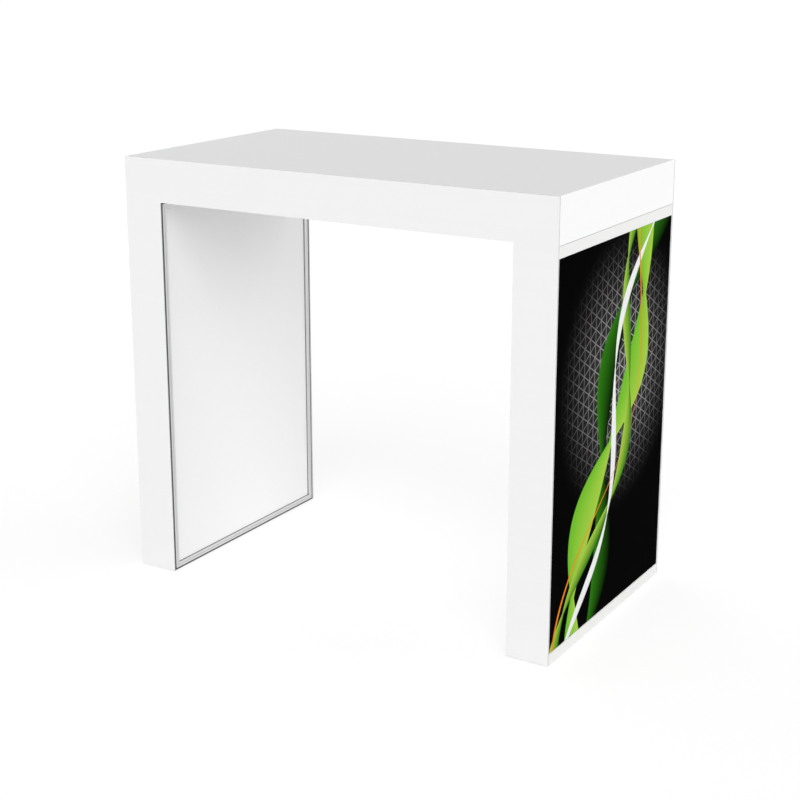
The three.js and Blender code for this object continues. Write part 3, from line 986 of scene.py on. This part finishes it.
# Silicone rubber: extruded, clouded white. A waxy look, with light soaking into its edges.
def extruded_silicone():
    made, tree, shader = new_finish(
        "extruded_silicone",
        SILICONE,
        IOR=1.41,
        Subsurface_Weight=0.2,
        Subsurface_Scale=SILICONE_SOAK,
    )
    place = add_node(tree, "TexCoord").outputs["Object"]
    cloud = add_node(tree, "TexNoise", {"Vector": place, "Scale": 1 / SILICONE_CLOUD, "Detail": 2})
    smooth, rough = SILICONE_ROUGHNESS
    shine = add_node(
        tree, "MapRange", {"Value": cloud.outputs["Fac"], "To Min": smooth, "To Max": rough}
    )
    tree.links.new(shine.outputs[0], shader.inputs["Roughness"])
    return made


def cloth_lines(half):
    """Places across the cloth from its middle to its border: even, then closer to the turn, then
    round the turn and down the hem."""
    gaps = []
    left = half
    gap = CLOTH_FINE
    while left > gap * CLOTH_REST_SHARE:
        gaps.append(gap)
        left -= gap
        gap = min(gap * CLOTH_GROWTH_SHARE, CLOTH_COARSE)
    gaps.append(left)
    places = [0.0]
    for gap in reversed(gaps):
        places.append(places[-1] + gap)
    beyond = [*CLOTH_STEPS, CLOTH_ARC, CLOTH_ARC + CLOTH_HEM / 2, CLOTH_ARC + CLOTH_HEM]
    places += [half + extra for extra in beyond]
    return [-p for p in places[:0:-1]] + places


def pucker(u, v, half_u, half_v):
    """How far the pull of the groove lifts the cloth at a place, from its middle."""
    lift = 0
    for from_edge, along in ((half_u - abs(u), v), (half_v - abs(v), u)):
        waves = [
            math.sin(math.tau * along / wave + k * PUCKER_PHASE)
            for k, wave in enumerate(PUCKER_WAVES)
        ]
        lift += PUCKER_HEIGHT * sum(waves) / len(waves) * math.exp(-from_edge / PUCKER_REACH)
    from_corner = Vector((half_u - abs(u), half_v - abs(v)))
    angle = math.atan2(from_corner.y, from_corner.x)
    pull = math.sin(angle * 2) * math.sin(angle * 2 * CORNER_PULLS)
    return lift + CORNER_PULL_HEIGHT * pull * math.exp(-from_corner.length / CORNER_PULL_REACH)


def tight_cloth(name, low, high, face, outwards, finishes):
    """Cloth over the rectangle from low to high, both (y, z), turned down all round. A place past
    the flat part bends away from the nearest point of it, so that the corners are round too."""
    bm = bmesh.new()
    middle = [(a + b) / 2 for a, b in zip(low, high)]
    halves = [(b - a) / 2 - CLOTH_TURN for a, b in zip(low, high)]
    lines = [cloth_lines(half) for half in halves]
    grid = []
    for across in lines[0]:
        row = []
        for up in lines[1]:
            inner = [max(-half, min(half, p)) for half, p in zip(halves, (across, up))]
            past = Vector((across - inner[0], up - inner[1]))
            beyond = max(abs(past.x), abs(past.y))
            bend = min(beyond / CLOTH_TURN, math.pi / 2)
            reach = past.normalized() * CLOTH_TURN * math.sin(bend)
            drop = CLOTH_TURN * (1 - math.cos(bend)) + max(0, beyond - CLOTH_ARC)
            lift = pucker(*inner, *halves) * math.cos(bend)
            x = face + outwards * (lift - drop)
            y = middle[0] + inner[0] + reach.x
            z = middle[1] + inner[1] + reach.y
            row.append(bm.verts.new((x, y, z)))
        grid.append(row)
    for this, after in zip(grid, grid[1:]):
        for k in range(len(this) - 1):
            corners = [this[k], after[k], after[k + 1], this[k + 1]]
            bm.faces.new(corners if outwards > 0 else corners[::-1])
    mesh = bpy.data.meshes.new(name)
    bm.to_mesh(mesh)
    bm.free()
    mesh.shade_smooth()
    cloth = bpy.data.objects.new(name, mesh)
    bpy.context.scene.collection.objects.link(cloth)
    paint(cloth, *finishes)
    thick = cloth.modifiers.new("cloth", "SOLIDIFY")
    thick.thickness = CLOTH
    thick.offset = -1
    thick.material_offset = 1
    thick.material_offset_rim = 1
    return cloth


EDGING_WIDTH = 2.3 * MM
EDGING_RIB = 0.5 * MM  # how far a rib stands out of the strip, towards the middle of the cloth
EDGING_RIBS = 4
EDGING_RIB_SHARES = (0.3, 0.45, 0.55, 0.8)  # of the way to the next rib: foot, crest, crest, foot
EDGING_GAP = 0.1 * MM  # between the strip and the cloth
EDGING_DROP = 1 * MM  # the strip starts this much deeper than its CAD solid, clear of the turn
EDGING_CUT = 1.6 * MM  # the strips stop this far short of each corner, where the cloth is rounder

silicone = extruded_silicone()
cloth_back = bare_knit()
print_height = sum(corner.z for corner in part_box("right_graphic_fabric")) / 2
print_front = printed_knit(print_height)
for side, outwards in zip(SIDES, (-1, 1)):
    low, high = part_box(f"{side}_graphic_fabric")
    face = (high.x if outwards > 0 else low.x) - outwards * (PUCKER_HEIGHT + CORNER_PULL_HEIGHT)
    border_low = (low.y + CLOTH_MARGIN, low.z + CLOTH_MARGIN)
    border_high = (high.y - CLOTH_MARGIN, high.z - CLOTH_MARGIN)
    cloth = tight_cloth(
        f"{side}_graphic_cloth", border_low, border_high, face, outwards, [print_front, cloth_back]
    )

    strip_low, strip_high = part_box(f"{side}_graphic_edging")
    top = abs(face - (strip_high.x if outwards > 0 else strip_low.x)) + EDGING_DROP
    foot = abs(face - (strip_low.x if outwards > 0 else strip_high.x))
    outer = CLOTH + EDGING_GAP
    inner = outer + EDGING_WIDTH - EDGING_RIB
    section = [(outer, top), (inner, top)]
    pitch = (foot - top) / EDGING_RIBS
    for rib in range(EDGING_RIBS):
        foot_in, crest_in, crest_out, foot_out = [
            top + rib * pitch + pitch * share for share in EDGING_RIB_SHARES
        ]
        section += [
            (inner, foot_in),
            (inner + EDGING_RIB, crest_in),
            (inner + EDGING_RIB, crest_out),
            (inner, foot_out),
        ]
    section += [(inner, foot), (outer, foot)]
    edging = frame_bar(
        f"{side}_edging_strip",
        section,
        border_low,
        border_high,
        face,
        -outwards,
        range(4),
        [silicone],
        EDGING_CUT,
    )
    body = f"{side}_graphic"
    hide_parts(f"{side}_graphic_fabric")
    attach(cloth, body)
    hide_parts(f"{side}_graphic_edging")
    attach(edging, body)

# Studio
# A pale floor that keeps the counter's shadow, a white background, an even sky, and broad soft
# lamps that stand far off: a high key, a side lamp and one further back on the visitor's right,
# and a fill on the left behind the counter.

FLOOR_PALE = "#E4E4E4"
FLOOR_HALF = 40  # metres to each side
FLOOR_GLOW_SHARE = 0.62  # of what the camera sees of the floor; the rest is lit by the lamps
FLOOR_GLOW = 1.176  # brings the open floor just to white, so that the shadow still shows
SKY = 0.45  # strength of the light that falls from the sky; the sky itself is white
WHITE = "#FFFFFF"
# The camera, as fitted to the counter's corners in the photograph
LENS = 72.2  # focal length in millimetres
CAMERA_PLACE = (1.8857, -3.1034, 1.5099)
CAMERA_YAW = math.radians(31.2)
CAMERA_PITCH = math.radians(-15.18)
CAMERA_SHIFT = -0.05
# Each lamp: the way round from the front to where it stands, its height, both in degrees, how wide
# it looks from the counter, in degrees, and its strength
LAMPS = {
    "key_lamp": (30, 40, 50, 1.77),
    "side_lamp": (85, 5, 60, 0.43),
    "back_lamp": (130, 20, 50, 0.75),
    "fill_lamp": (-120, 5, 40, 1.4),
}


def seen_or_mirrored(tree):
    """1 for a ray from the camera, or from a mirror or a window, and 0 for light that falls."""
    path = add_node(tree, "LightPath")
    either = add_node(
        tree,
        "Math",
        {0: path.outputs["Is Camera Ray"], 1: path.outputs["Is Glossy Ray"]},
        operation="MAXIMUM",
    )
    return add_node(
        tree,
        "Math",
        {0: either.outputs[0], 1: path.outputs["Is Transmission Ray"]},
        operation="MAXIMUM",
    ).outputs[0]


# Studio floor: matt painted board. It shows no gloss, and the camera sees it white where it is
# open, and a little grey under the counter.
def pale_floor():
    made, tree, shader = new_finish("pale_floor", FLOOR_PALE, Roughness=0.9, Specular_IOR_Level=0)
    glow = add_node(tree, "Emission", {"Color": linear(WHITE), "Strength": FLOOR_GLOW})
    share = add_node(
        tree, "Math", {0: seen_or_mirrored(tree), 1: FLOOR_GLOW_SHARE}, operation="MULTIPLY"
    )
    both = add_node(
        tree, "MixShader", {0: share.outputs[0], 1: shader.outputs[0], 2: glow.outputs[0]}
    )
    tree.links.new(both.outputs[0], tree.nodes["Material Output"].inputs["Surface"])
    return made


bm = bmesh.new()
corners = rectangle(-FLOOR_HALF, -FLOOR_HALF, FLOOR_HALF, FLOOR_HALF)
bm.faces.new([bm.verts.new((x, y, 0)) for x, y in corners])
floor = new_piece("studio_floor", bm, pale_floor())

world = bpy.data.worlds.new("studio")
bpy.context.scene.world = world
world.use_nodes = True
sky = world.node_tree.nodes["Background"]
sky.inputs["Color"].default_value = linear(WHITE)
strength = add_node(
    world.node_tree, "Mix", {"Factor": seen_or_mirrored(world.node_tree), 2: SKY, 3: 1.0}
)
world.node_tree.links.new(strength.outputs[0], sky.inputs["Strength"])

for name, (round_from_front, height, width, strength) in LAMPS.items():
    light = bpy.data.lights.new(name, "SUN")
    light.angle = math.radians(width)
    light.energy = strength
    lamp = bpy.data.objects.new(name, light)
    lamp.rotation_euler = (math.radians(90 - height), 0, math.radians(round_from_front))
    lamp.visible_glossy = False  # gloss mirrors the white studio, not the lamps
    bpy.context.scene.collection.objects.link(lamp)

camera = bpy.data.objects.new("camera", bpy.data.cameras.new("camera"))
camera.data.lens = LENS
camera.data.shift_y = CAMERA_SHIFT
camera.location = CAMERA_PLACE
camera.rotation_euler = (math.pi / 2 + CAMERA_PITCH, 0, CAMERA_YAW)
bpy.context.scene.collection.objects.link(camera)
bpy.context.scene.camera = camera
bpy.context.scene.view_settings.view_transform = "Standard"
